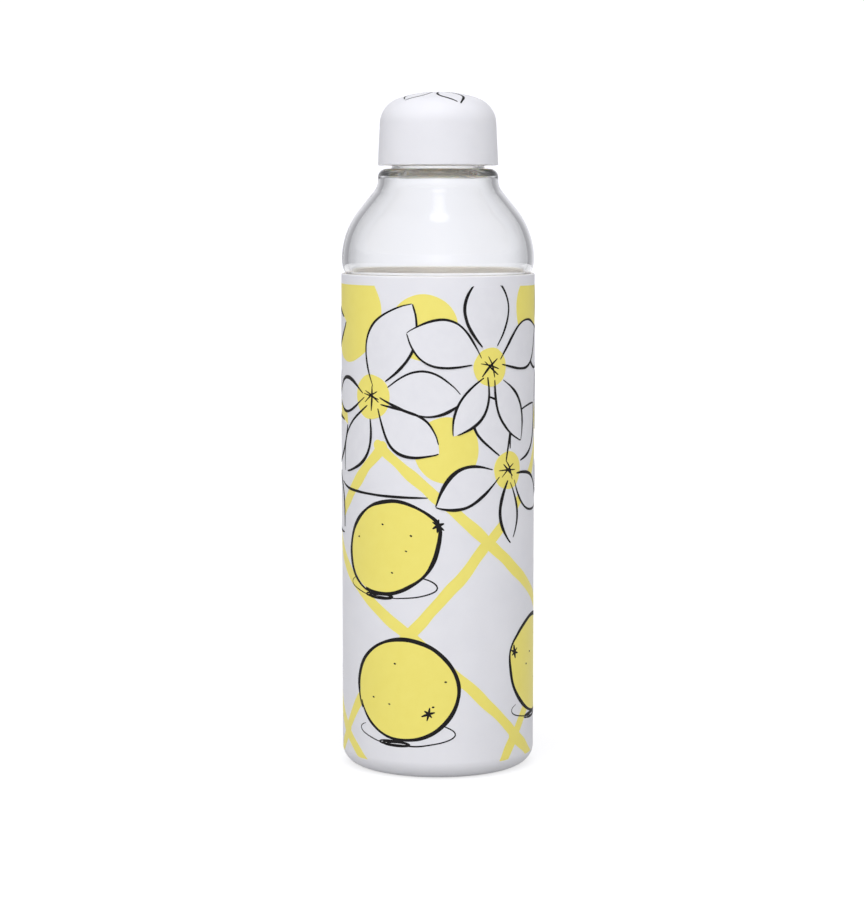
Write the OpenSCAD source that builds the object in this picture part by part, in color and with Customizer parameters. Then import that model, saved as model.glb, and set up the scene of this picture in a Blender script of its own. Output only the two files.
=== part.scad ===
// Glass water bottle with a silicone sleeve and a two-piece screw cap.
// The bottle stands on the XY plane, +Z is up, and the origin is the centre of the foot.
// All sizes are in millimetres, and all angles in degrees.

/* [Silicone sleeve] */
// Outer diameter of the sleeved body
body_d = 68; // [60:0.5:82]
// Height of the sleeve above the table
sleeve_h = 174.2; // [130:0.1:210]
// Wall of the sleeve
sleeve_wall = 1.25; // [1:0.05:1.8]
// Thickness of the sleeve's base
sleeve_base = 1.6; // [1.2:0.1:2.5]
// Radius of the rounded foot
foot_r = 6.4; // [5:0.1:9]
// Diameter of the air hole in the base
air_hole_d = 20; // [10:1:24]

/* [Glass bottle] */
// Wall of the glass body
glass_wall = 2.2; // [1.8:0.1:2.8]
// Thickness of the glass base
glass_base = 4.5; // [3.5:0.1:6]
// How far the shoulder bulges past the recessed body
bulge = 1.2; // [0.8:0.1:1.5]
// Steepest slope of the shoulder, from vertical
shoulder_slope = 39; // [32:1:46]
// Length of the shoulder's straight stretch
shoulder_run = 8.1; // [6:0.1:9]
// Radius of the hollow curve between shoulder and collar
throat_r = 6; // [4:0.1:8]
// Height of the collar above that curve
collar_h = 4; // [3.7:0.1:7]
// Thickness of the solid glass shelf at the top of the collar
shelf_t = 2.6; // [2.2:0.1:3]
// Outer diameter of the neck
neck_d = 32.6; // [28:0.1:40]
// Wall of the neck
neck_wall = 2.3; // [2:0.05:3.2]
// Height of the neck above the collar
neck_h = 14.7; // [12.5:0.1:18]

/* [Thread] */
// Distance between neighbouring ridges along the neck
thread_pitch = 4; // [3.8:0.1:4.4]
// Number of thread starts
thread_starts = 2; // [1:1:3]
// Height of a ridge
thread_h = 1; // [0.8:0.05:1.2]
// Play between a ridge's crest and the wall that it faces
thread_play = 0.3; // [0.25:0.05:0.4]

/* [Cap] */
// Slope of the cap's side from vertical
cap_draft = 2.8; // [1.5:0.1:3.4]
// Radius of the cap's rounded shoulder
cap_corner_r = 9.5; // [8:0.5:10]
// Radius of the cap's crown
crown_r = 45; // [42:1:70]
// Height of the dome above the liner
dome_h = 8.9; // [7.5:0.1:12]
// Wall of the outer shell
shell_wall = 1.4; // [1.2:0.1:1.6]
// Wall of the liner at its lower edge
liner_wall = 2.05; // [1.4:0.05:2.6]
// Thickness of the liner's top plate
plate_t = 1.5; // [1.2:0.1:2]
// Thickness of the rim gasket
gasket_t = 1.6; // [1.2:0.1:2]
// Gap between the closed cap and the collar
cap_gap = 1.2; // [0.8:0.1:1.6]

/* [Hidden] */
$fn = 96;

arc_step = 5;                          // angle between the points of an outline's arcs
sleeve_fit = 0.15;                     // radial clearance between sleeve and glass
ledge_gap = 0.2;                       // between the sleeve's rim and the shoulder above it
cap_fit = 0.05;                        // clearance between the cap's shell and liner
edge_r = 0.5;                          // rounding of the sleeve's rim and of the cap's lower edge

// Sleeve
body_r = body_d / 2;
sleeve_in_r = body_r - sleeve_wall;
heel_r = foot_r - sleeve_wall;
foot_recess = 0.6;                     // hollow under the base, inside the ring that it stands on
foot_ring = 8;                         // width of that ring
foot_ring_r = body_r - foot_r - foot_ring;

// Thread: ridges on the neck, and ridges in the cap that pull up against their undersides
neck_r = neck_d / 2;
bore_r = neck_r - neck_wall;
thread_root_r = neck_r + thread_h + thread_play;
thread_lead = thread_pitch * thread_starts;
ridge_w = 2.2;                         // width of a ridge on the neck, at its root
cap_ridge_w = 1.8;                     // width of a ridge in the cap, at its root
ridge_flank = 0.36;                    // a ridge's half width at its knee, as a share of its width
ridge_crest = 0.16;                    // its half width at its crest
ridge_knee = 0.55;                     // height of the knee, as a share of the ridge's height
ridge_end = 0.2;                       // height at a ridge's very end, as a share of its height
ridge_mesh = 0.6;                      // mean width of a ridge above its root, as a share of its width
ridge_land = 0.5;                      // axial play between a ridge's flank and the next one's
ridge_sink = 0.4;                      // depth that a ridge is sunk into the wall that carries it
ridge_step = 7.5;                      // angle between the rings of a ridge
runout = 30;                           // angle over which a ridge's end fades
thread_low = 3.4;                      // from the collar to the middle of a ridge's lower end
thread_high = 4.6;                     // from a ridge's upper end to the rim
glass_turn = 360 * (neck_h - thread_low - thread_high) / thread_lead;
cap_ridge_start = glass_turn / 4;      // the cap's ridge starts this far along the neck's
cap_ridge_turn = glass_turn * 2 / 3;

// Cap, across
cap_r = thread_root_r + liner_wall + cap_fit + shell_wall;
liner_inset = shell_wall + cap_fit;
gasket_play = 0.2;                     // between the gasket's edge and the cap's wall
gasket_reach = 1;                      // how far the gasket reaches in past the neck's bore
gasket_r = thread_root_r - gasket_play;
gasket_in_r = bore_r - gasket_reach;
bead_grip = 0.4;                       // how far the bead that keeps the gasket in the cap reaches under it
bead_h = 0.8;                          // height of that bead
bead_crest = 0.4;                      // height of its crest
bead_r = gasket_r - bead_grip;
liner_foot = 0.6;                      // the liner stops this far above the shell's lower edge
drive_r = 9.2;                         // ring on the liner, notched for the shell's ribs
drive_wall = 1.4;
drive_h = 2.6;
rib_count = 6;
rib_w = 1.4;
rib_in_r = 5;
rib_out_r = 13;
cut_over = 1;                          // how far the ribs' notches are cut past the ring

// Glass, outside, from the base up
glass_r = sleeve_in_r - sleeve_fit;
glass_z = sleeve_base;
seat_w = 4;                            // width of the flat ring that the glass stands on
punt_r = glass_r - heel_r - seat_w;
punt_rise = 1.5;
bulge_r = glass_r + bulge;
collar_r = cap_r;
collar_edge_r = 2.9;
neck_root_r = 0.5;
shoulder_r = (bulge_r - collar_r - shoulder_run * sin(shoulder_slope)) / (1 - cos(shoulder_slope))
    - throat_r;
shoulder_cx = bulge_r - shoulder_r;
ledge_r = 9;                           // rounding of the bulge above the sleeve's rim
ledge_angle = acos((ledge_r - bulge) / ledge_r);
ledge_z = sleeve_h + ledge_gap;
shoulder_z = ledge_z + ledge_r * sin(ledge_angle);
throat_z = shoulder_z + (shoulder_r + throat_r) * sin(shoulder_slope)
    + shoulder_run * cos(shoulder_slope);
collar_z = throat_z + collar_h;
rim_z = collar_z + neck_h;
rim_flat = 0.35;                       // width of the flat on top of the rim
rim_r = (neck_wall - rim_flat) / 2;

// Glass, inside: the outer outline taken in by the wall
floor_z = glass_z + glass_base;
floor_corner_r = 5;
glass_in_r = glass_r - glass_wall;
ceiling_z = collar_z - shelf_t;
ceiling_r = collar_r - glass_wall;
ceiling_corner_r = 0.9;
ledge_in_r = ledge_r - glass_wall;
recess_in_r = 4;                       // rounding where the inner wall starts to follow the bulge
ledge_in_angle = acos((ledge_in_r - bulge + recess_in_r) / (ledge_in_r + recess_in_r));
recess_in_z = shoulder_z - (ledge_in_r + recess_in_r) * sin(ledge_in_angle);
lip_r = 1.2;

// Cap, along the axis
cap_z = collar_z + cap_gap;
plate_z = rim_z + gasket_t;
head_z = plate_z + plate_t;
top_z = head_z + dome_h;
glass_ridge_z = collar_z + thread_low;
cap_ridge_drop = (ridge_w + cap_ridge_w) / 2 * ridge_mesh + ridge_land;
cap_ridge_z = glass_ridge_z - cap_ridge_drop + thread_lead * cap_ridge_start / 360;
crown_c = [0, top_z - crown_r];
corner_c = corner_centre();
crown_angle = atan2(corner_c[1] - crown_c[1], corner_c[0]);

// Centre of the cap's corner arc: it touches the sloping side and lies inside the crown's circle.
function corner_centre() =
    let (
        start = [cap_r, cap_z] - cap_corner_r * [cos(cap_draft), sin(cap_draft)],
        up = [-sin(cap_draft), cos(cap_draft)],
        away = start - crown_c,
        half_b = away * up,
        c = away * away - pow(crown_r - cap_corner_r, 2)
    )
    start + (sqrt(half_b * half_b - c) - half_b) * up;

// Points of an arc round centre c, from angle a to angle b, both ends included.
function arc(c, r, a, b) =
    let (n = max(2, ceil(abs(b - a) / arc_step)))
    [for (i = [0:n]) c + r * [cos(a + (b - a) * i / n), sin(a + (b - a) * i / n)]];

function reversed(points) = [for (i = [len(points) - 1:-1:0]) points[i]];

// Radius of the cap's side at height z, taken in by inset.
function side_r(z, inset) = cap_r - (z - cap_z) * tan(cap_draft) - inset / cos(cap_draft);

// Outline of the cap's dome, taken in by inset, from its side to its top.
function dome(inset) = concat(
    arc(corner_c, cap_corner_r - inset, cap_draft, crown_angle),
    arc(crown_c, crown_r - inset, crown_angle, 90)
);

// Shoulder and throat of the glass, taken in by inset.
function shoulder(inset) = concat(
    arc([shoulder_cx, shoulder_z], shoulder_r - inset, 0, shoulder_slope),
    arc([collar_r + throat_r, throat_z], throat_r + inset, 180 + shoulder_slope, 180)
);

// Hollow under the glass base.
function punt() =
    let (r = (punt_r * punt_r + punt_rise * punt_rise) / (2 * punt_rise))
    arc([0, glass_z + punt_rise - r], r, 90, 90 - asin(punt_r / r));

function glass_outside() = concat(
    punt(),
    arc([glass_r - heel_r, glass_z + heel_r], heel_r, 270, 360),
    arc([bulge_r - ledge_r, shoulder_z], ledge_r, -ledge_angle, -arc_step),
    shoulder(0),
    arc([collar_r - collar_edge_r, collar_z - collar_edge_r], collar_edge_r, 0, 90),
    arc([neck_r + neck_root_r, collar_z + neck_root_r], neck_root_r, 270, 180),
    arc([neck_r - rim_r, rim_z - rim_r], rim_r, 0, 90)
);

function glass_inside() = concat(
    arc([bore_r + rim_r, rim_z - rim_r], rim_r, 90, 180),
    arc([bore_r + lip_r, ceiling_z + lip_r], lip_r, 180, 270),
    arc([ceiling_r - ceiling_corner_r, ceiling_z - ceiling_corner_r], ceiling_corner_r, 90, 0),
    reversed(shoulder(glass_wall)),
    arc([bulge_r - ledge_r, shoulder_z], ledge_in_r, -arc_step, -ledge_in_angle),
    arc([glass_in_r + recess_in_r, recess_in_z], recess_in_r, 180 - ledge_in_angle + arc_step, 180),
    arc([glass_in_r - floor_corner_r, floor_z + floor_corner_r], floor_corner_r, 0, -90),
    [[0, floor_z]]
);

module turned(outline) {
    rotate_extrude() polygon(outline);
}

// One helical ridge on the wall at radius base_r. It stands outwards for side = 1, inwards for -1.
module ridge(base_r, side, width, z, from, turn) {
    section = [
        [-ridge_sink, -0.5], [ridge_knee * thread_h, -ridge_flank], [thread_h, -ridge_crest],
        [thread_h, ridge_crest], [ridge_knee * thread_h, ridge_flank], [-ridge_sink, 0.5]
    ];
    steps = ceil(turn / ridge_step);
    sides = len(section);
    points = [
        for (i = [0:steps])
            let (a = turn * i / steps, fade = min(1, ridge_end + (1 - ridge_end) * min(a, turn - a) / runout))
            for (p = section)
                let (r = base_r + side * ((p[0] + ridge_sink) * fade - ridge_sink))
                [r * cos(from + a), r * sin(from + a), z + thread_lead * a / 360 + p[1] * width * side]
    ];
    quads = [
        for (i = [0:steps - 1], k = [0:sides - 1])
            let (p = i * sides + k, q = i * sides + (k + 1) % sides)
            each [[p, q, q + sides], [p, q + sides, p + sides]]
    ];
    ends = [[for (k = [sides - 1:-1:0]) k], [for (k = [0:sides - 1]) steps * sides + k]];
    polyhedron(points = points, faces = concat(quads, ends));
}

// A ridge for each thread start.
module thread(base_r, side, width, z, from, turn) {
    for (i = [0:thread_starts - 1])
        ridge(base_r, side, width, z, from + 360 * i / thread_starts, turn);
}

// Upright plates round the axis that carry the cap's turning force from its shell to its liner.
module drive_ribs(width, z, h) {
    for (i = [0:rib_count - 1])
        rotate(360 * i / rib_count)
            translate([rib_in_r, -width / 2, z])
                cube([rib_out_r - rib_in_r, width, h]);
}

module silicone_sleeve() {
    color("white")
        turned(concat(
            [[air_hole_d / 2, foot_recess], [foot_ring_r, foot_recess], [foot_ring_r + foot_recess, 0]],
            arc([body_r - foot_r, foot_r], foot_r, 270, 360),
            arc([body_r - edge_r, sleeve_h - edge_r], edge_r, 0, 90),
            arc([sleeve_in_r + edge_r, sleeve_h - edge_r], edge_r, 90, 180),
            arc([sleeve_in_r - heel_r, sleeve_base + heel_r], heel_r, 360, 270),
            [[air_hole_d / 2, sleeve_base]]
        ));
}

module glass_bottle() {
    color("lightcyan", 0.4) {
        turned(concat(glass_outside(), glass_inside()));
        thread(neck_r, 1, ridge_w, glass_ridge_z, 0, glass_turn);
    }
}

module rim_gasket() {
    color("ghostwhite")
        turned([
            [gasket_in_r, rim_z], [gasket_r, rim_z],
            [gasket_r, plate_z], [gasket_in_r, plate_z]
        ]);
}

// Shoulder of the liner: it follows the inside of the shell's rounded shoulder up to the plate.
function liner_shoulder() =
    let (r = cap_corner_r - liner_inset, a = asin((head_z - corner_c[1]) / r))
    a > cap_draft ? arc(corner_c, r, cap_draft, a) : [[side_r(head_z, liner_inset), head_z]];

// The ridges in the cap start from the same angle as the neck's, so that they mesh.
module cap_liner() {
    foot_z = cap_z + liner_foot;
    bead_slope = (bead_h - bead_crest) / 2;
    color("antiquewhite") {
        difference() {
            turned(concat(
                [[thread_root_r, foot_z], [side_r(foot_z, liner_inset), foot_z]],
                liner_shoulder(),
                [
                    [drive_r, head_z], [drive_r, head_z + drive_h],
                    [drive_r - drive_wall, head_z + drive_h], [drive_r - drive_wall, head_z],
                    [0, head_z], [0, plate_z], [thread_root_r, plate_z],
                    [thread_root_r, rim_z],
                    [bead_r, rim_z - bead_slope], [bead_r, rim_z - bead_h + bead_slope],
                    [thread_root_r, rim_z - bead_h]
                ]
            ));
            drive_ribs(rib_w + 2 * cap_fit, head_z, drive_h + cut_over);
        }
        thread(thread_root_r, -1, cap_ridge_w, cap_ridge_z, cap_ridge_start, cap_ridge_turn);
    }
}

module cap_shell() {
    color("whitesmoke") {
        turned(concat(
            arc([side_r(cap_z + edge_r, edge_r), cap_z + edge_r], edge_r, -90, cap_draft),
            dome(0),
            reversed(dome(shell_wall)),
            [[side_r(cap_z, shell_wall), cap_z]]
        ));
        intersection() {
            turned(concat([[0, cap_z], [side_r(cap_z, shell_wall / 2), cap_z]], dome(shell_wall / 2)));
            drive_ribs(rib_w, head_z, dome_h);
        }
    }
}

silicone_sleeve();
glass_bottle();
rim_gasket();
cap_liner();
cap_shell();
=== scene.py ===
"""Looks of a glass water bottle in a printed silicone sleeve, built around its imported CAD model.

Sizes are in millimetres until a mesh is made. The frame is the CAD model's: +Z up, -Y to the front.
"""

import math
import random

import bpy
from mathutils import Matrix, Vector, noise


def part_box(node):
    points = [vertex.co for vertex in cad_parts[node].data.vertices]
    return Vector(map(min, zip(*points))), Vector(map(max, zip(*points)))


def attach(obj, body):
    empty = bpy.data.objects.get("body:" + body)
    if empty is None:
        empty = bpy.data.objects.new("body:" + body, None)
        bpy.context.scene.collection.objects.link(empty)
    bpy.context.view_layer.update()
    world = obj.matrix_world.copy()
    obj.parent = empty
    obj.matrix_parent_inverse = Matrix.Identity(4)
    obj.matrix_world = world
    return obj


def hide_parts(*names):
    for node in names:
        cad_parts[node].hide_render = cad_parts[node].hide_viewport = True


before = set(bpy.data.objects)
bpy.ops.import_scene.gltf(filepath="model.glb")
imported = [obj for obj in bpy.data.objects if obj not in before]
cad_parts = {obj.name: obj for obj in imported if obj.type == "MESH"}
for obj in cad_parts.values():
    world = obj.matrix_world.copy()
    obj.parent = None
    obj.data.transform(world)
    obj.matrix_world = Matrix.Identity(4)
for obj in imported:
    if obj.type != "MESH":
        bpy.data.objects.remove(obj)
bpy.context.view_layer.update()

MM = 0.001
TAU = 2 * math.pi


def cad_top(node):
    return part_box(node)[1].z / MM


# ---- Sizes that follow the CAD model ----

BODY_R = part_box("silicone_sleeve")[1].x / MM
SLEEVE_H = cad_top("silicone_sleeve")
SLEEVE_WALL = 1.25
SLEEVE_BASE = 1.6
SLEEVE_IN_R = BODY_R - SLEEVE_WALL
FOOT_R = 6.4
HEEL_R = FOOT_R - SLEEVE_WALL
FOOT_RECESS = 0.6
FOOT_RING = 8
FOOT_RING_R = BODY_R - FOOT_R - FOOT_RING
AIR_HOLE_R = 10
EDGE_R = 0.5

SLEEVE_FIT = 0.15
GLASS_WALL = 2.2
GLASS_BASE = 4.5
GLASS_R = SLEEVE_IN_R - SLEEVE_FIT
GLASS_IN_R = GLASS_R - GLASS_WALL
BULGE = 1.2
BULGE_R = GLASS_R + BULGE
SEAT_W = 4
PUNT_R = GLASS_R - HEEL_R - SEAT_W
PUNT_RISE = 1.5
FLOOR_Z = SLEEVE_BASE + GLASS_BASE
FLOOR_CORNER_R = 5

NECK_R = 16.3
BORE_R = 14
THREAD_H = 1
THREAD_LEAD = 8
THREAD_STARTS = 2
THREAD_W = 2.2
THREAD_LOW = 3.4
THREAD_HIGH = 4.6
THREAD_RUNOUT = THREAD_LEAD / 12  # rise along which a ridge's end fades
FLANK_POWER = 0.7    # below 1, for a ridge with fuller flanks than a cosine wave
THREAD_PLAY = 0.3
THREAD_ROOT_R = NECK_R + THREAD_H + THREAD_PLAY
NECK_H = 14.7
NECK_ROOT_R = 0.5
RIM_Z = cad_top("glass_bottle")
RIM_ROUND = 0.975
NECK_STEP = 0.2      # distance of the points up the neck that carry the thread

SHELL_WALL = 1.4
LINER_WALL = 2.05
CAP_FIT = 0.05
CAP_R = THREAD_ROOT_R + LINER_WALL + CAP_FIT + SHELL_WALL
CAP_DRAFT = math.radians(2.8)
CAP_CORNER_R = 9.5
CROWN_R = 45
CAP_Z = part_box("cap_shell")[0].z / MM
TOP_Z = cad_top("cap_shell")

COLLAR_R = CAP_R
COLLAR_Z = RIM_Z - NECK_H
COLLAR_EDGE_R = 2.9
SHELF_T = 2.6
SLOPE = math.radians(39)
SLOPE_RUN = 8.1
THROAT_R = 6
LEDGE_R = 9
LEDGE_GAP = 0.2
LEDGE_ANGLE = math.acos((LEDGE_R - BULGE) / LEDGE_R)
LEDGE_IN_R = LEDGE_R - GLASS_WALL
RECESS_IN_R = 4
LEDGE_IN_ANGLE = math.acos((LEDGE_IN_R - BULGE + RECESS_IN_R) / (LEDGE_IN_R + RECESS_IN_R))
SHOULDER_R = (BULGE_R - COLLAR_R - SLOPE_RUN * math.sin(SLOPE)) / (1 - math.cos(SLOPE)) - THROAT_R
SHOULDER_X = BULGE_R - SHOULDER_R
SHOULDER_Z = SLEEVE_H + LEDGE_GAP + LEDGE_R * math.sin(LEDGE_ANGLE)
RECESS_IN_Z = SHOULDER_Z - (LEDGE_IN_R + RECESS_IN_R) * math.sin(LEDGE_IN_ANGLE)
THROAT_Z = SHOULDER_Z + (SHOULDER_R + THROAT_R) * math.sin(SLOPE) + SLOPE_RUN * math.cos(SLOPE)
CEILING_Z = COLLAR_Z - SHELF_T
CEILING_R = COLLAR_R - GLASS_WALL
CEILING_CORNER_R = 0.9
LIP_R = 1.2


# ---- Turned shapes ----

SEGMENTS = 256
ARC_STEP = math.radians(2.5)
ONE_STEP = 3         # degrees left between two arcs that meet smoothly
CREASE = math.radians(28)
SAME_PLACE = 1e-4    # points nearer to each other than this are one


def arc(cx, cz, r, start, end):
    """Points of an arc round (cx, cz), with both ends, between two angles in degrees."""
    a, b = math.radians(start), math.radians(end)
    n = max(3, math.ceil(abs(b - a) / ARC_STEP))
    angles = [a + (b - a) * i / n for i in range(n + 1)]
    return [(cx + r * math.cos(t), cz + r * math.sin(t)) for t in angles]


def without_repeats(outline):
    kept = [outline[0]]
    for point in outline[1:]:
        if math.dist(point, kept[-1]) > SAME_PLACE:
            kept.append(point)
    return kept


def stepped(outline, step):
    """The outline with its long stretches cut into pieces no longer than step."""
    points = [outline[0]]
    for a, b in zip(outline, outline[1:]):
        n = max(1, math.ceil(math.dist(a, b) / step))
        rise = (b[0] - a[0], b[1] - a[1])
        points += [(a[0] + rise[0] * i / n, a[1] + rise[1] * i / n) for i in range(1, n + 1)]
    return points


def mesh_object(name, verts, faces):
    mesh = bpy.data.meshes.new(name)
    mesh.from_pydata([(x * MM, y * MM, z * MM) for x, y, z in verts], [], faces)
    mesh.shade_smooth()
    mesh.set_sharp_from_angle(angle=CREASE)
    obj = bpy.data.objects.new(name, mesh)
    bpy.context.scene.collection.objects.link(obj)
    return obj


def lathe(name, outline, relief=None):
    """Turns an outline of (radius, height) points round the axis.

    An outline that starts and ends on the axis gets a pole at each end. Any other is closed on itself.
    relief(angle, radius, height) is added to each point's radius.
    """
    outline = without_repeats(outline)
    polar = outline[0][0] == 0 and outline[-1][0] == 0
    if not polar and math.dist(outline[0], outline[-1]) < SAME_PLACE:
        outline = outline[:-1]
    rings = outline[1:-1] if polar else outline
    verts, faces = [], []
    for r, z in rings:
        for k in range(SEGMENTS):
            a = TAU * k / SEGMENTS
            rr = r + (relief(a, r, z) if relief else 0)
            verts.append((rr * math.cos(a), rr * math.sin(a), z))
    count = len(rings)
    for i in range(count - 1 if polar else count):
        p, q = i * SEGMENTS, (i + 1) % count * SEGMENTS
        for k in range(SEGMENTS):
            n = (k + 1) % SEGMENTS
            faces.append((p + k, p + n, q + n, q + k))
    if polar:
        first, last = len(verts), len(verts) + 1
        verts += [(0, 0, outline[0][1]), (0, 0, outline[-1][1])]
        end = (count - 1) * SEGMENTS
        for k in range(SEGMENTS):
            n = (k + 1) % SEGMENTS
            faces += [(first, n, k), (end + k, end + n, last)]
    return mesh_object(name, verts, faces)


# ---- Materials ----

SOFT_SHINE = 0.35    # strength of the reflection on the silicone, the cap and most inks
SLEEVE_WHITE = (0.80, 0.80, 0.815), (0.83, 0.83, 0.84)


def new_material(name, roughness):
    mat = bpy.data.materials.new(name)
    mat.use_nodes = True
    shader = mat.node_tree.nodes["Principled BSDF"]
    shader.inputs["Roughness"].default_value = roughness
    return mat, mat.node_tree, shader


def noise_at(tree, scale, detail=3.0, stretch=None):
    """A noise pattern fixed to the piece, with scale in patches per metre."""
    place = tree.nodes.new("ShaderNodeTexCoord").outputs["Object"]
    if stretch:
        mapping = tree.nodes.new("ShaderNodeMapping")
        mapping.inputs["Scale"].default_value = stretch
        tree.links.new(place, mapping.inputs["Vector"])
        place = mapping.outputs["Vector"]
    node = tree.nodes.new("ShaderNodeTexNoise")
    node.inputs["Scale"].default_value = scale
    node.inputs["Detail"].default_value = detail
    tree.links.new(place, node.inputs["Vector"])
    return node.outputs["Fac"]


def between_colors(tree, shader, factor, low, high):
    ramp = tree.nodes.new("ShaderNodeValToRGB")
    ramp.color_ramp.elements[0].position = 0.3
    ramp.color_ramp.elements[1].position = 0.7
    ramp.color_ramp.elements[0].color = (*low, 1)
    ramp.color_ramp.elements[1].color = (*high, 1)
    tree.links.new(factor, ramp.inputs["Fac"])
    tree.links.new(ramp.outputs["Color"], shader.inputs["Base Color"])


def between_roughness(tree, shader, factor, low, high):
    span = tree.nodes.new("ShaderNodeMapRange")
    span.inputs["To Min"].default_value = low
    span.inputs["To Max"].default_value = high
    tree.links.new(factor, span.inputs["Value"])
    tree.links.new(span.outputs["Result"], shader.inputs["Roughness"])


def bumped(tree, shader, factor, strength, depth):
    bump = tree.nodes.new("ShaderNodeBump")
    bump.inputs["Strength"].default_value = strength
    bump.inputs["Distance"].default_value = depth * MM
    tree.links.new(factor, bump.inputs["Height"])
    tree.links.new(bump.outputs["Normal"], shader.inputs["Normal"])


def translucent(shader, weight, radius, depth):
    """Lets light into the surface: radius is its reach in red, green and blue as shares of depth."""
    shader.inputs["Subsurface Weight"].default_value = weight
    shader.inputs["Subsurface Radius"].default_value = radius
    shader.inputs["Subsurface Scale"].default_value = depth * MM


def silicone():
    mat, tree, shader = new_material("white_silicone", 0.5)
    shader.inputs["Specular IOR Level"].default_value = SOFT_SHINE
    translucent(shader, 0.08, (1.0, 0.9, 0.8), 0.8)
    between_colors(tree, shader, noise_at(tree, 90), *SLEEVE_WHITE)
    between_roughness(tree, shader, noise_at(tree, 700), 0.46, 0.56)
    bumped(tree, shader, noise_at(tree, 5000, 2), 0.2, 0.03)
    return mat


def soft_touch_plastic():
    mat, tree, shader = new_material("soft_touch_white", 0.5)
    shader.inputs["Specular IOR Level"].default_value = SOFT_SHINE
    shader.inputs["Sheen Weight"].default_value = 0.08
    translucent(shader, 0.5, (1.0, 0.97, 0.92), 1.2)
    low, high = (0.785, 0.785, 0.795), (0.805, 0.805, 0.815)
    between_colors(tree, shader, noise_at(tree, 120), low, high)
    between_roughness(tree, shader, noise_at(tree, 900), 0.42, 0.52)
    bumped(tree, shader, noise_at(tree, 7000, 2), 0.2, 0.02)
    return mat


def clear_glass():
    mat, tree, shader = new_material("clear_glass", 0.0)
    shader.inputs["Base Color"].default_value = (0.985, 0.99, 0.99, 1)
    shader.inputs["Transmission Weight"].default_value = 1
    shader.inputs["IOR"].default_value = 1.5
    bumped(tree, shader, noise_at(tree, 55, 1, (1, 1, 0.5)), 0.25, 0.25)
    return mat


def natural_plastic():
    mat, tree, shader = new_material("natural_plastic", 0.4)
    translucent(shader, 1, (1.0, 0.85, 0.65), 2)
    between_colors(tree, shader, noise_at(tree, 250), (0.93, 0.84, 0.70), (0.95, 0.87, 0.74))
    between_roughness(tree, shader, noise_at(tree, 1200), 0.32, 0.45)
    return mat


def clear_silicone():
    mat, tree, shader = new_material("gasket_silicone", 0.4)
    translucent(shader, 0.5, (2, 2, 1.8), 1)
    between_colors(tree, shader, noise_at(tree, 300), (0.92, 0.86, 0.76), (0.94, 0.89, 0.80))
    bumped(tree, shader, noise_at(tree, 4000, 2), 0.2, 0.03)
    return mat


def ink(name, low, high, roughness, shine=SOFT_SHINE):
    """Screen-printed ink: nearly even, with slightly thin places."""
    mat, tree, shader = new_material(name, roughness)
    shader.inputs["Specular IOR Level"].default_value = shine
    between_colors(tree, shader, noise_at(tree, 260, 4), low, high)
    bumped(tree, shader, noise_at(tree, 4000, 2), 0.15, 0.02)
    return mat


# ---- Pieces that follow CAD nodes ----


def sleeve_outline():
    return [
        (AIR_HOLE_R, FOOT_RECESS),
        (FOOT_RING_R, FOOT_RECESS),
        (FOOT_RING_R + FOOT_RECESS, 0),
        *arc(BODY_R - FOOT_R, FOOT_R, FOOT_R, 270, 360),
        *arc(BODY_R - EDGE_R, SLEEVE_H - EDGE_R, EDGE_R, 0, 90),
        *arc(SLEEVE_IN_R + EDGE_R, SLEEVE_H - EDGE_R, EDGE_R, 90, 180),
        *arc(SLEEVE_IN_R - HEEL_R, SLEEVE_BASE + HEEL_R, HEEL_R, 360, 270),
        (AIR_HOLE_R, SLEEVE_BASE),
    ]


def shoulder(inset):
    """Shoulder and throat of the glass, taken in by inset."""
    slope = math.degrees(SLOPE)
    return [
        *arc(SHOULDER_X, SHOULDER_Z, SHOULDER_R - inset, 0, slope),
        *arc(COLLAR_R + THROAT_R, THROAT_Z, THROAT_R + inset, 180 + slope, 180),
    ]


def punt():
    """The hollow under the glass, from the axis to the ring that it stands on."""
    r = (PUNT_R ** 2 + PUNT_RISE ** 2) / (2 * PUNT_RISE)
    edge = 90 - math.degrees(math.asin(PUNT_R / r))
    top = SLEEVE_BASE + PUNT_RISE
    return [(0, top), *arc(0, top - r, r, 89, edge)]


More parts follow.
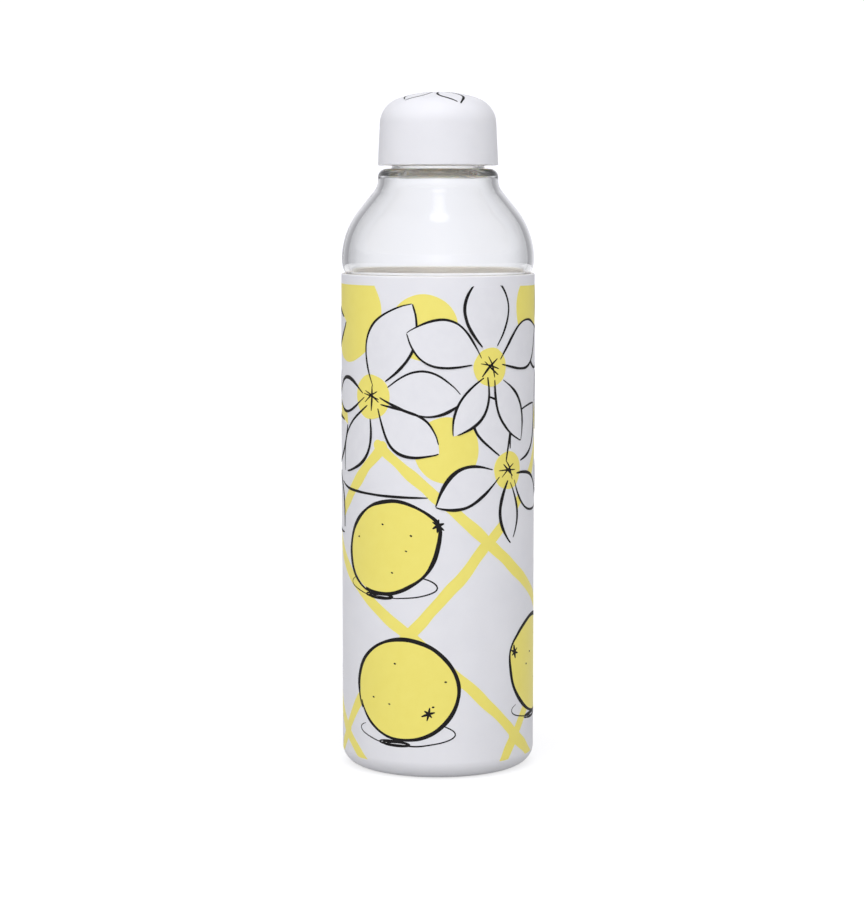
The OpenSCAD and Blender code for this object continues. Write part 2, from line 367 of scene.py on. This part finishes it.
def glass_outline():
    neck = [(NECK_R, COLLAR_Z + NECK_ROOT_R), (NECK_R, RIM_Z - RIM_ROUND)]
    ledge_end, ledge_in_end = math.degrees(LEDGE_ANGLE), math.degrees(LEDGE_IN_ANGLE)
    corner_r, corner_x = CEILING_CORNER_R, CEILING_R - CEILING_CORNER_R
    return [
        *punt(),
        *arc(GLASS_R - HEEL_R, SLEEVE_BASE + HEEL_R, HEEL_R, 270, 360),
        *arc(BULGE_R - LEDGE_R, SHOULDER_Z, LEDGE_R, -ledge_end, -ONE_STEP),
        *shoulder(0),
        *arc(COLLAR_R - COLLAR_EDGE_R, COLLAR_Z - COLLAR_EDGE_R, COLLAR_EDGE_R, 0, 90),
        *arc(NECK_R + NECK_ROOT_R, COLLAR_Z + NECK_ROOT_R, NECK_ROOT_R, 270, 180),
        *stepped(neck, NECK_STEP),
        *arc(NECK_R - RIM_ROUND, RIM_Z - RIM_ROUND, RIM_ROUND, 0, 90),
        *arc(BORE_R + RIM_ROUND, RIM_Z - RIM_ROUND, RIM_ROUND, 90, 180),
        *arc(BORE_R + LIP_R, CEILING_Z + LIP_R, LIP_R, 180, 270),
        *arc(corner_x, CEILING_Z - corner_r, corner_r, 90, 0),
        *reversed(shoulder(GLASS_WALL)),
        *arc(BULGE_R - LEDGE_R, SHOULDER_Z, LEDGE_IN_R, -ONE_STEP, -ledge_in_end),
        *arc(GLASS_IN_R + RECESS_IN_R, RECESS_IN_Z, RECESS_IN_R, 180 + ONE_STEP - ledge_in_end, 180),
        *arc(GLASS_IN_R - FLOOR_CORNER_R, FLOOR_Z + FLOOR_CORNER_R, FLOOR_CORNER_R, 0, -90),
        (0, FLOOR_Z),
    ]


def thread_relief(angle, r, z):
    """Height of the neck's screw ridges at this place, which fade in and out at their ends."""
    if abs(r - NECK_R) > 1e-6 or not COLLAR_Z < z < RIM_Z:
        return 0
    rise = NECK_H - THREAD_LOW - THREAD_HIGH
    best = 0
    for start in range(THREAD_STARTS):
        along = (angle / TAU - start / THREAD_STARTS) % 1 * THREAD_LEAD
        while along <= rise:
            gap = abs(z - COLLAR_Z - THREAD_LOW - along) / THREAD_W
            fade = min(1, min(along, rise - along) / THREAD_RUNOUT)
            if gap < 0.5:
                best = max(best, THREAD_H * fade * (0.5 + 0.5 * math.cos(TAU * gap)) ** FLANK_POWER)
            along += THREAD_LEAD
    return best


def crown_center():
    return TOP_Z - CROWN_R


def corner_center():
    """Centre of the cap's corner arc, which touches the sloping side and the crown."""
    side = (math.cos(CAP_DRAFT), math.sin(CAP_DRAFT))
    start = (CAP_R - CAP_CORNER_R * side[0], CAP_Z - CAP_CORNER_R * side[1])
    up = (-side[1], side[0])
    away = (start[0], start[1] - crown_center())
    half_b = away[0] * up[0] + away[1] * up[1]
    c = away[0] ** 2 + away[1] ** 2 - (CROWN_R - CAP_CORNER_R) ** 2
    t = math.sqrt(half_b ** 2 - c) - half_b
    return start[0] + up[0] * t, start[1] + up[1] * t


def dome(inset):
    """The cap's corner and crown, taken in by inset."""
    cx, cz = corner_center()
    meet = math.degrees(math.atan2(cz - crown_center(), cx))
    return [
        *arc(cx, cz, CAP_CORNER_R - inset, math.degrees(CAP_DRAFT), meet),
        *arc(0, crown_center(), CROWN_R - inset, meet, 89.5),
        (0, TOP_Z - inset),
    ]


def side_r(z, inset):
    """Radius of the cap's sloping side at a height, taken in by inset."""
    return CAP_R - (z - CAP_Z) * math.tan(CAP_DRAFT) - inset / math.cos(CAP_DRAFT)


def cap_outline():
    edge_z = CAP_Z + EDGE_R
    lower_edge = arc(side_r(edge_z, EDGE_R), edge_z, EDGE_R, -90, math.degrees(CAP_DRAFT))
    inner_edge = (side_r(CAP_Z, SHELL_WALL), CAP_Z)
    return [*reversed(dome(SHELL_WALL)), inner_edge, *lower_edge, *dome(0)]


def on_cad_body(piece, body, material, node=None):
    piece.data.materials.append(material)
    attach(piece, body)
    if node:
        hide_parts(node)
    return piece


def restyle(node, material):
    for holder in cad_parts[node].material_slots:
        holder.material = material


# ---- Ink: thin closed shapes that follow a surface ----

INK_SINK = 0.05      # how far a shape's underside is sunk into the surface that carries it
INK_RISE = 0.02      # height of the lowest ink over the surface
COAT_RISE = 0.014    # height from one coat of ink to the next
SHAPE_RISE = 0.0003  # each shape is this much higher than the one before, so that no two coincide
INK_CELL = 1.1       # longest side of a cell of inked surface
PRINT_TOP = SLEEVE_H - 3.4
PRINT_LOW = 5.2


def on_sleeve(u, v, height):
    """u runs round the sleeve from the front to the right, and v up it, onto the rounded foot."""
    a = u / BODY_R
    out = math.sqrt(1 - max(0, 1 - v / FOOT_R) ** 2)
    r = BODY_R - FOOT_R + (FOOT_R + height) * out
    return r * math.sin(a), -r * math.cos(a), v


def on_cap(u, v, height):
    """u and v are across and back on the cap's crown."""
    r = math.hypot(u, v)
    cx, cz = corner_center()
    meet_r = CROWN_R * cx / (CROWN_R - CAP_CORNER_R)
    x, z, bend = (0, crown_center(), CROWN_R) if r < meet_r else (cx, cz, CAP_CORNER_R)
    out = (r - x) / bend
    grow = 1 + height * out / max(r, 0.01)
    return u * grow, v * grow, z + (bend + height) * math.sqrt(1 - out ** 2)


class Print:
    """A print in several inks. place() lays a drawn point on the surface at a height over it."""

    def __init__(self, place, low=-math.inf, top=math.inf):
        self.place = place
        self.low, self.top = low, top
        self.height = INK_RISE
        self.inks = {}

    def deck(self, number):
        """Puts the next shapes over everything in the decks with lower numbers."""
        self.height = INK_RISE + COAT_RISE * number

    def clipped(self, a, b):
        """The part of a row from a to b that lies between the print's limits, or None."""
        ends = [0.0, 1.0]
        rise = b.y - a.y
        for limit, side in ((self.low, 1), (self.top, -1)):
            inside = [side * (p.y - limit) >= 0 for p in (a, b)]
            if not any(inside):
                return None
            if not all(inside):
                ends[0 if inside[1] else 1] = (limit - a.y) / rise
        return a.lerp(b, ends[0]), a.lerp(b, ends[1])

    def fill(self, ink, left, right):
        """Inks the space between two edges of as many points each, as a thin closed sheet."""
        rows = [row for row in map(self.clipped, left, right) if row]
        if len(rows) < 2:
            return
        verts, faces = self.inks.setdefault(ink, ([], []))
        self.height += SHAPE_RISE
        start, count = len(verts), len(rows)
        columns = max(1, math.ceil(max((b - a).length for a, b in rows) / INK_CELL))
        width = columns + 1
        for height in (self.height, -INK_SINK):
            for a, b in rows:
                verts += [self.place(*a.lerp(b, k / columns), height) for k in range(width)]

        def at(row, column):
            return start + row * width + column

        under = count * width
        for i in range(count - 1):
            for k in range(columns):
                cell = (at(i, k), at(i, k + 1), at(i + 1, k + 1), at(i + 1, k))
                faces += [cell, tuple(n + under for n in reversed(cell))]
        last = count - 1
        rim = [at(0, k) for k in range(columns)] + [at(i, columns) for i in range(last)]
        rim += [at(last, columns - k) for k in range(columns)] + [at(last - i, 0) for i in range(last)]
        for a, b in zip(rim, rim[1:] + rim[:1]):
            faces.append((b, a, a + under, b + under))

    def piece(self, ink, name):
        return mesh_object(name, *self.inks[ink])


CURVE_STEP = 0.2     # distance of the points that a curve is measured by
HAND_SEED = 1        # fixed, as the noise module otherwise takes a new one from the clock
WAVE_LENGTH = 7      # of a hand's tremble
PRESS_LENGTH = 9     # and of its uneven pressure
THIN_END = 0.45      # width of a tapered line near its end, as a share of its width
HAIRLINE = 0.02      # least half width of a line


def curve(points, step):
    """Points at even steps along a smooth curve through the given ones."""
    pts = [Vector(p) for p in points]
    ends = [pts[0] * 2 - pts[1], *pts, pts[-1] * 2 - pts[-2]]
    fine = []
    for a, b, c, d in zip(ends, ends[1:], ends[2:], ends[3:]):
        n = max(4, math.ceil((c - b).length / CURVE_STEP))
        for i in range(n):
            t = i / n
            fine.append(0.5 * (2 * b + (c - a) * t + (2 * a - 5 * b + 4 * c - d) * t ** 2
                               + (3 * b - a - 3 * c + d) * t ** 3))
    fine.append(pts[-1])
    lengths = [0]
    for a, b in zip(fine, fine[1:]):
        lengths.append(lengths[-1] + (b - a).length)
    count = max(4, round(lengths[-1] / step))
    out, k = [], 0
    for i in range(count + 1):
        want = lengths[-1] * i / count
        while k < len(fine) - 2 and lengths[k + 1] < want:
            k += 1
        span = lengths[k + 1] - lengths[k]
        out.append(fine[k].lerp(fine[k + 1], (want - lengths[k]) / span if span else 0))
    return out


def stroke(art, ink, points, width, taper=5.0, seed=0, uneven=0.22, tremble=0.12, step=0.7):
    """A brush or pen line: rounded at its ends, thinner towards them, and a little uneven."""
    line = curve(points, step)
    total = sum((b - a).length for a, b in zip(line, line[1:]))
    for i, p in enumerate(line):
        wave = noise.noise_vector(Vector((p.x / WAVE_LENGTH, p.y / WAVE_LENGTH, seed * 3.7)))
        line[i] = p + Vector((wave.x, wave.y)) * tremble
    half = width / 2
    ends = [half * share for share in (0.04, 0.2, 0.5)]
    last = len(line) - 1
    places = ends + [total * i / last for i in range(1, last)] + [total - e for e in ends]
    left, right = [], []
    for s in sorted(p for p in places if ends[0] <= p <= total - ends[0]):
        f = s / total * last
        i = min(int(f), last - 1)
        here = line[i].lerp(line[i + 1], f - i)
        along = (line[min(i + 2, last)] - line[max(i - 1, 0)]).normalized()
        across = Vector((-along.y, along.x))
        d = min(s, total - s)
        rounding = math.sqrt(max(0, 1 - max(0, 1 - d / half) ** 2))
        thin = THIN_END + (1 - THIN_END) * min(1, d / taper) if taper else 1
        pressure = 1 + uneven * 2 * noise.noise(Vector((s / PRESS_LENGTH, seed * 1.3, 0.5)))
        w = max(HAIRLINE, half * rounding * thin * pressure)
        left.append(here + across * w)
        right.append(here - across * w)
    art.fill(ink, left, right)


def disc(art, ink, u, v, r, top=None, seed=0):
    """A slightly uneven filled circle. Where top is given, it is cut off straight at that height."""
    pole = 0.02
    first = pole if top is None or top >= v + r else math.acos((top - v) / r)
    n = max(18, round(r * 3))
    left, right = [], []
    for i in range(n + 1):
        a = first + (math.pi - pole - first) * i / n
        for side, edge in ((-1, left), (1, right)):
            x, y = side * math.sin(a), math.cos(a)
            wave = 1 + 0.05 * noise.noise(Vector((y * 1.5, x * 1.5, seed)))
            edge.append(Vector((u + r * wave * x, v + r * wave * y)))
        if i == 0 and top:
            left[0].y = right[0].y = min(top, left[0].y)
    art.fill(ink, left, right)


# ---- Drawings ----


PETAL_POINTS = 26
PETAL_START = 0.02   # first point of a petal's edge, as a share of its length
PETAL_FULL = 0.85    # below 1, for a fuller petal


def petal_edges(base, angle, start, length, half, bend, belly=0.55):
    """Left and right edges of a petal, narrow at its base, widest at belly and pointed at its tip."""
    along = Vector((math.cos(angle), math.sin(angle)))
    across = Vector((-along.y, along.x))
    power = math.log(0.5) / math.log(belly)
    left, right = [], []
    for i in range(PETAL_POINTS + 1):
        t = PETAL_START + (1 - PETAL_START) * i / PETAL_POINTS
        sideways = bend * length * (t ** 2 - 0.6 * t)
        middle = base + along * (start + (length - start) * t) + across * sideways
        w = half * max(0.004, math.sin(math.pi * min(t, 0.9995) ** power)) ** PETAL_FULL
        left.append(middle + across * w)
        right.append(middle - across * w)
    return left, right


def petal(art, base, angle, length, half, bend, line, seed):
    """One petal, white over whatever lies under it. Returns its two edges, with their widths."""
    rng = random.Random(seed)
    belly = rng.uniform(0.5, 0.6)
    left, right = petal_edges(base, math.radians(angle), 3, length, half, bend, belly)
    art.fill("white", left, right)
    return [
        (left[rng.choice((0, 1, 3)):len(left) - rng.choice((0, 1, 2))], line * rng.uniform(0.8, 1.25)),
        (right[rng.choice((0, 1, 3)):], line * rng.uniform(0.8, 1.25)),
    ]


def blossom(art, deck, u, v, petals, heart, line=0.95, seed=0):
    """Petals in outline round a yellow heart with a few crossed stamens."""
    rng = random.Random(seed)
    base = Vector((u, v))
    edges = []
    art.deck(deck)
    for k, (angle, length, half, bend) in enumerate(petals):
        edges += petal(art, base, angle, length, half, bend, line, seed * 10 + k)
    art.deck(deck + 1)
    disc(art, "yellow", u, v, heart, seed=seed)
    art.deck(deck + 2)
    for k, (edge, width) in enumerate(edges):
        stroke(art, "black", edge[::4] + [edge[-1]], width, 7, seed + k)
    for k in range(4):
        angle = math.radians(rng.uniform(-14, 14) + 48 * k)
        arm = Vector((math.cos(angle), math.sin(angle))) * rng.uniform(3.6, 4.8)
        off = Vector((rng.uniform(-0.6, 0.6), rng.uniform(-0.6, 0.6)))
        path = [base - arm + off, base + off * 1.2, base + arm * 0.9]
        stroke(art, "black", path, line * 0.7, 3, seed + k, step=0.5)


def random_petals(rng, turn):
    """Angle, length, half width and bend of five petals."""
    return [(turn + 72 * k + rng.uniform(-10, 10), rng.uniform(27, 33), rng.uniform(5.5, 8.5),
             rng.uniform(-0.25, 0.25)) for k in range(5)]


TIP_ANGLE = 0.24     # how wide a lemon's tip is, seen from its middle
PORES = 5


def lemon_radius(angle, a, b, tip):
    """Distance of a lemon's outline from its middle: an oval with a blunt tip at angle 0."""
    oval = a * b / math.hypot(b * math.cos(angle), a * math.sin(angle))
    away = math.atan2(math.sin(angle), math.cos(angle))
    return oval + tip * b * math.exp(-(away / TIP_ANGLE) ** 2)


def lemon(art, u, v, a, b, turn, tip, scar, seed):
    """A plain lemon: filled, outlined with a brush, with pores, a stalk scar and a scribbled shadow.

    tip is the height of its pointed end as a share of b. scar is the scar's angle and its distance
    from the middle, as a share of the lemon's radius.
    """
    rng = random.Random(seed)
    middle = Vector((u, v))
    turn = math.radians(turn)

    def rim(angle, share=1.0):
        way = Vector((math.cos(angle + turn), math.sin(angle + turn)))
        return middle + way * lemon_radius(angle, a, b, tip) * share

    art.deck(1)
    shadow(art, u, v - b, a, rng, seed)
    art.deck(2)
    sides = [math.pi * (0.01 + 0.98 * i / 44) for i in range(45)]
    art.fill("yellow", [rim(s) for s in sides], [rim(-s) for s in sides])
    art.deck(3)
    first = rng.uniform(190, 215)
    around = [rim(math.radians(first + 9 * i), 1 + 0.0009 * i) for i in range(42)]
    stroke(art, "black", around, 1.2, 8, seed, 0.25, 0.25)
    for k in range(PORES):
        spot = rim(rng.uniform(0, 1.2) + 1.25 * k, rng.uniform(0.35, 0.84))
        mark = Vector((rng.uniform(-0.1, 0.2), rng.uniform(0.5, 0.75)))
        stroke(art, "black", [spot, spot + mark * 0.5, spot + mark], 1.1, 0, seed + k, 0, 0, 0.25)
    stalk = rim(math.radians(scar[0]), scar[1])
    out = (stalk - middle).normalized()
    side = Vector((-out.y, out.x))
    for k in range(3):
        way = out * math.cos(k * 1.05) + side * math.sin(k * 1.05)
        arm = way * rng.uniform(1.8, 2.6)
        path = [stalk - arm, stalk + side * 0.2, stalk + arm]
        stroke(art, "black", path, 0.95, 1.5, seed + k, step=0.4)


def shadow(art, u, v, a, rng, seed):
    """A thin open loop on the ground with a few scribbled turns."""
    loop = []
    for i in range(20):
        t = math.radians(150 + 15 * i)
        loop.append((u + a * 0.97 * math.cos(t), v + 2.2 + a * (0.2 + 0.003 * i) * math.sin(t)))
    stroke(art, "black", loop, 0.42, 3, seed + 1, tremble=0.35)
    start = u - a * rng.uniform(0.15, 0.35)
    turns = []
    for i in range(22):
        t = i * TAU / 8
        across = start + 0.12 * i + (5.8 - 0.07 * i) * math.cos(t)
        turns.append((across, v - 1.3 - 0.03 * i + 0.75 * math.sin(t)))
    stroke(art, "black", turns, 0.6, 2, seed + 2, tremble=0.3, step=0.4)


LATTICE_W = 3.9
LATTICE_COUNT = 3    # diamonds round the sleeve
# height of each row of crossings, and place of one crossing in it
LATTICE_ROWS = ((115, -21), (82.5, 18), (50.5, -10), (13.5, 30.5), (-20, 4))


def lattice(art):
    """Brushed yellow diamonds round the lower part, with an uneven hand and a few gaps."""
    pitch = TAU * BODY_R / LATTICE_COUNT
    rng = random.Random(5)
    for row, ((top, from_u), (low, to_u)) in enumerate(zip(LATTICE_ROWS, LATTICE_ROWS[1:])):
        for k in range(LATTICE_COUNT):
            near = from_u + pitch * k
            places = (to_u + pitch * n for n in range(-3, 4 + LATTICE_COUNT))
            for end in sorted(places, key=lambda place: abs(place - near))[:2]:
                a, b = Vector((near, top)), Vector((end, low))
                along = (b - a).normalized()
                across = Vector((-along.y, along.x)) * rng.uniform(-1.3, 1.3)
                a -= along * rng.uniform(-1, 4)
                b += along * rng.uniform(1, 5)
                path = [a, a.lerp(b, 0.35) + across, a.lerp(b, 0.7) + across * 0.7, b]
                width = LATTICE_W * rng.uniform(0.94, 1.08)
                stroke(art, "yellow", path, width, 0, row * 9 + k, 0.12, 0.4, 1.1)


# place and radius of each yellow disc behind the blossoms
GROUND_DISCS = [
    (-5, 157, 11.5), (3, 115, 11.4), (-39, 162, 18), (47, 162, 15.5), (-52, 122, 12),
    (58, 124, 10), (88, 160, 17), (-88, 158, 13), (104, 116, 12), (-96, 118, 13),
]
# each blossom's deck, place and heart, then each petal's angle, length, half width and bend
BLOSSOMS = [
    (4, 27, 107, 6.6, [
        (197, 30, 6.5, 0.25), (-88, 25.5, 4.4, 0.05), (112, 29, 7.5, 0.1), (52, 29, 8, -0.1),
        (-32, 28, 6, 0.1)]),
    (7, -25, 132.5, 7.8, [
        (180, 25, 6, 0.1), (-40, 31.5, 7.6, 0.15), (4, 34, 7.8, -0.2), (-118, 32, 7.2, -0.2),
        (68, 36, 9.2, -0.2)]),
    (10, 19, 143, 6.6, [
        (-59, 30, 5.6, -0.05), (-117, 27, 5, -0.15), (22, 31, 8, 0.1), (155, 32, 8.4, 0.15),
        (93, 33, 8.8, 0)]),
]
MORE_HEART = 6.8
# deck, place and turn of the blossoms at the sides and the back
MORE_BLOSSOMS = [
    (4, -72, 150, 10), (7, -68, 106, 40), (7, 66, 146, 25), (10, 78, 108, 60), (4, 105, 140, 5),
    (10, -104, 108, 20),
]
# each lemon's place, half length, half width, turn and tip, then its scar's angle and distance
LEMONS = [
    (-18.3, 80.6, 18.6, 15.4, 24, 0.1, (0, 1)), (-12.3, 31.3, 19, 17.3, 0, 0.02, (-42, 0.66)),
    (47.5, 37, 18.8, 16.8, 160, 0.06, (0, 0.9)), (76, 82, 19, 16, 200, 0.12, (180, 1)),
    (100, 34, 18, 16.5, 30, 0.1, (0, 1)), (-72, 34, 19, 17, 120, 0.08, (0, 0.8)),
    (-88, 80, 18.5, 16, -30, 0.12, (0, 1)),
]
GROUND_LINE = [(-46, 101.5), (-38, 99.6), (-20, 98.6), (-3.5, 98.4)]
# angle and length of each petal on the cap
CAP_PETALS = [(6, 17), (78, 16), (150, 17), (222, 16), (294, 17.5)]
CAP_PETAL_HALF = 4.2


def sleeve_print():
    art = Print(on_sleeve, PRINT_LOW, PRINT_TOP)
    for k, (u, v, r) in enumerate(GROUND_DISCS):
        disc(art, "yellow", u, v, r, PRINT_TOP, k)
    lattice(art)
    for k, spot in enumerate(LEMONS):
        lemon(art, *spot, seed=40 + k)
    art.deck(4)
    stroke(art, "black", GROUND_LINE, 0.9, 4, 3)
    for k, (deck, u, v, turn) in enumerate(MORE_BLOSSOMS):
        petals = random_petals(random.Random(k), turn)
        blossom(art, deck, u, v, petals, MORE_HEART, seed=20 + k)
    for k, (deck, u, v, heart, petals) in enumerate(BLOSSOMS):
        blossom(art, deck, u, v, petals, heart, seed=30 + k)
    return art


def cap_print():
    art = Print(on_cap)
    for k, (angle, length) in enumerate(CAP_PETALS):
        left, right = petal_edges(Vector((0, 0)), math.radians(angle), 2, length, CAP_PETAL_HALF, 0.1)
        for edge in (left[2:], right[1:-1]):
            stroke(art, "black", edge[::4] + [edge[-1]], 0.75, 5, 70 + k)
    return art


# ---- Room, light and camera ----

CAMERA_DISTANCE = 915
CAMERA_HEIGHT = 205
CAMERA_TILT = 5.874
CAMERA_PAN = 0.133
LENS = 103.35
SENSOR_WIDTH = 36
CLIP_START = 50
GLASS_BOUNCES = 32
BOUNCES = 12

BACK_LIGHT = 1.0
BACK_EDGES = 0.0, 0.5     # sideways parts of the directions between which the light dims, behind
BACK_FLAGS = 0.38         # light from the dim sides there, as a share of the light between them
FRONT_LIGHT = 1.15
FRONT_EDGES = 0.4, 0.95   # and the same in front
FRONT_FLAGS = 0.45
FRONT_TO_BACK = -0.1, 0.3
KEY_LIGHT = 0.45
KEY_FROM = (-0.35, -0.8, 0.45)
KEY_SPREAD = 0.2, 0.95
TOP_LIGHT = 1.5
TOP_FROM = (0.02, -0.375, 0.927)
TOP_SPREAD = 0.978, 0.995
THROUGH_GLASS = 4         # gain of the light that falls on plastic and silicone through the glass
COOL = (0.98, 0.98, 1.03)
WARM = (1, 0.90, 0.78)    # colour of the light with that gain
WHITE = 1.1               # the plain background, as the camera sees it
FLOOR_R = 1500
FLOOR_GLOW = 0.68


def make_camera():
    data = bpy.data.cameras.new("camera")
    data.lens = LENS
    data.sensor_width = SENSOR_WIDTH
    data.clip_start = CLIP_START * MM
    obj = bpy.data.objects.new("camera", data)
    obj.location = (0, -CAMERA_DISTANCE * MM, CAMERA_HEIGHT * MM)
    obj.rotation_euler = (math.radians(90 - CAMERA_TILT), 0, math.radians(CAMERA_PAN))
    bpy.context.scene.collection.objects.link(obj)
    bpy.context.scene.camera = obj


def math_node(tree, operation, a, b=None):
    node = tree.nodes.new("ShaderNodeMath")
    node.operation = operation
    for socket, value in zip(node.inputs, (a, b)):
        if isinstance(value, (int, float)):
            socket.default_value = value
        elif value:
            tree.links.new(value, socket)
    return node.outputs[0]


def smooth_range(tree, value, edges, low, high):
    """Goes smoothly from low to high as the value goes from one edge to the other."""
    node = tree.nodes.new("ShaderNodeMapRange")
    node.interpolation_type = "SMOOTHSTEP"
    names = ("From Min", "From Max", "To Min", "To Max")
    for name, level in zip(names, (*edges, low, high)):
        node.inputs[name].default_value = level
    tree.links.new(value, node.inputs["Value"])
    return node.outputs["Result"]


def split_direction(tree, way):
    node = tree.nodes.new("ShaderNodeSeparateXYZ")
    tree.links.new(way, node.inputs["Vector"])
    return math_node(tree, "ABSOLUTE", node.outputs["X"]), node.outputs["Y"]


def glow_from(tree, way, direction, spread, strength):
    """A soft round light: spread holds the cosines of the angles at which it begins and is full."""
    toward = tree.nodes.new("ShaderNodeVectorMath")
    toward.operation = "DOT_PRODUCT"
    toward.inputs[1].default_value = Vector(direction).normalized()
    tree.links.new(way, toward.inputs[0])
    return smooth_range(tree, toward.outputs["Value"], spread, 0, strength)


def seen_and_lit(tree, path):
    """Two factors, 1 or 0: seen straight through glass, and light on a surface through glass."""
    glass = path.outputs["Is Transmission Ray"]
    surface = math_node(tree, "MINIMUM", path.outputs["Diffuse Depth"], 1)
    lit = math_node(tree, "MULTIPLY", surface, glass)
    return math_node(tree, "SUBTRACT", glass, lit), lit


def make_floor():
    """A plain floor as white as an overexposed sweep, that throws little light up at the bottle.

    Through the glass it is as dim at the sides as the world is, so that the glass shows against it.
    """
    r, n = FLOOR_R * MM, 96
    mesh = bpy.data.meshes.new("floor")
    ring = [(r * math.cos(TAU * k / n), r * math.sin(TAU * k / n), 0) for k in range(n)]
    mesh.from_pydata(ring, [], [tuple(range(n))])
    floor = bpy.data.objects.new("floor", mesh)
    bpy.context.scene.collection.objects.link(floor)
    mat, tree, shader = new_material("floor", 0.8)
    between_colors(tree, shader, noise_at(tree, 3), (0.40, 0.40, 0.40), (0.42, 0.42, 0.42))
    shader.inputs["Specular IOR Level"].default_value = 0
    shader.inputs["Emission Color"].default_value = (1, 1, 1, 1)
    path = tree.nodes.new("ShaderNodeLightPath")
    seen, lit = seen_and_lit(tree, path)
    glow = smooth_range(tree, path.outputs["Is Diffuse Ray"], (0, 1), FLOOR_GLOW, 0)
    glow = math_node(tree, "MULTIPLY", glow, smooth_range(tree, lit, (0, 1), 1, THROUGH_GLASS))
    away = tree.nodes.new("ShaderNodeVectorMath")
    away.operation = "NORMALIZE"
    tree.links.new(tree.nodes.new("ShaderNodeTexCoord").outputs["Object"], away.inputs[0])
    aside, _ = split_direction(tree, away.outputs["Vector"])
    dim = smooth_range(tree, aside, BACK_EDGES, 1, BACK_FLAGS)
    dim = math_node(tree, "MAXIMUM", dim, math_node(tree, "SUBTRACT", 1, seen))
    tree.links.new(math_node(tree, "MULTIPLY", glow, dim), shader.inputs["Emission Strength"])
    mesh.materials.append(mat)


def make_world():
    """A white tent with dim sides, which give glass its grey edges, and two soft lights.

    Seen through the glass, it is the same in front as it is behind, and without the key light.
    """
    world = bpy.data.worlds.new("studio")
    world.use_nodes = True
    tree = world.node_tree
    way = tree.nodes.new("ShaderNodeTexCoord").outputs["Generated"]
    path = tree.nodes.new("ShaderNodeLightPath")
    seen, lit = seen_and_lit(tree, path)
    aside, depth = split_direction(tree, way)
    back = smooth_range(tree, aside, BACK_EDGES, BACK_LIGHT, BACK_LIGHT * BACK_FLAGS)
    front = smooth_range(tree, aside, FRONT_EDGES, FRONT_LIGHT, FRONT_LIGHT * FRONT_FLAGS)
    share = math_node(tree, "MAXIMUM", smooth_range(tree, depth, FRONT_TO_BACK, 0, 1), seen)
    back = math_node(tree, "MULTIPLY", back, share)
    front = math_node(tree, "MULTIPLY", front, math_node(tree, "SUBTRACT", 1, share))
    key = glow_from(tree, way, KEY_FROM, KEY_SPREAD, KEY_LIGHT)
    key = math_node(tree, "MULTIPLY", key, math_node(tree, "SUBTRACT", 1, seen))
    level = math_node(tree, "ADD", math_node(tree, "ADD", back, front), key)
    level = math_node(tree, "ADD", level, glow_from(tree, way, TOP_FROM, TOP_SPREAD, TOP_LIGHT))
    plain = math_node(tree, "MULTIPLY", path.outputs["Is Camera Ray"], WHITE)
    level = math_node(tree, "MAXIMUM", level, plain)
    level = math_node(tree, "MULTIPLY", level, smooth_range(tree, lit, (0, 1), 1, THROUGH_GLASS))
    tree.links.new(level, tree.nodes["Background"].inputs["Strength"])
    tint = tree.nodes.new("ShaderNodeValToRGB")
    tint.color_ramp.elements[0].color = (*COOL, 1)
    tint.color_ramp.elements[1].color = (*WARM, 1)
    tree.links.new(lit, tint.inputs["Fac"])
    tree.links.new(tint.outputs["Color"], tree.nodes["Background"].inputs["Color"])
    bpy.context.scene.world = world


def make_room():
    make_floor()
    make_world()
    scene = bpy.context.scene
    scene.view_settings.view_transform = "Standard"
    scene.cycles.max_bounces = GLASS_BOUNCES
    scene.cycles.transmission_bounces = GLASS_BOUNCES
    scene.cycles.glossy_bounces = BOUNCES
    scene.cycles.diffuse_bounces = BOUNCES


def main():
    noise.seed_set(HAND_SEED)
    make_camera()
    sleeve = lathe("sleeve", sleeve_outline())
    bottle = lathe("bottle", glass_outline(), thread_relief)
    cap_dome = lathe("cap_dome", cap_outline())
    on_cad_body(sleeve, "sleeve", silicone(), "silicone_sleeve")
    on_cad_body(bottle, "bottle", clear_glass(), "glass_bottle")
    on_cad_body(cap_dome, "cap", soft_touch_plastic(), "cap_shell")
    restyle("cap_liner", natural_plastic())
    restyle("rim_gasket", clear_silicone())

    inks = {
        "yellow": ink("yellow_ink", (0.90, 0.79, 0.165), (0.915, 0.81, 0.18), 0.45),
        "white": ink("white_ink", *SLEEVE_WHITE, 0.48),
        "black": ink("black_ink", (0.008, 0.007, 0.007), (0.014, 0.013, 0.013), 0.6, 0.12),
    }
    art = sleeve_print()
    for name, look in inks.items():
        on_cad_body(art.piece(name, "sleeve_print_" + name), "sleeve", look)
    on_cad_body(cap_print().piece("black", "cap_print_lines"), "cap", inks["black"])
    make_room()


main()
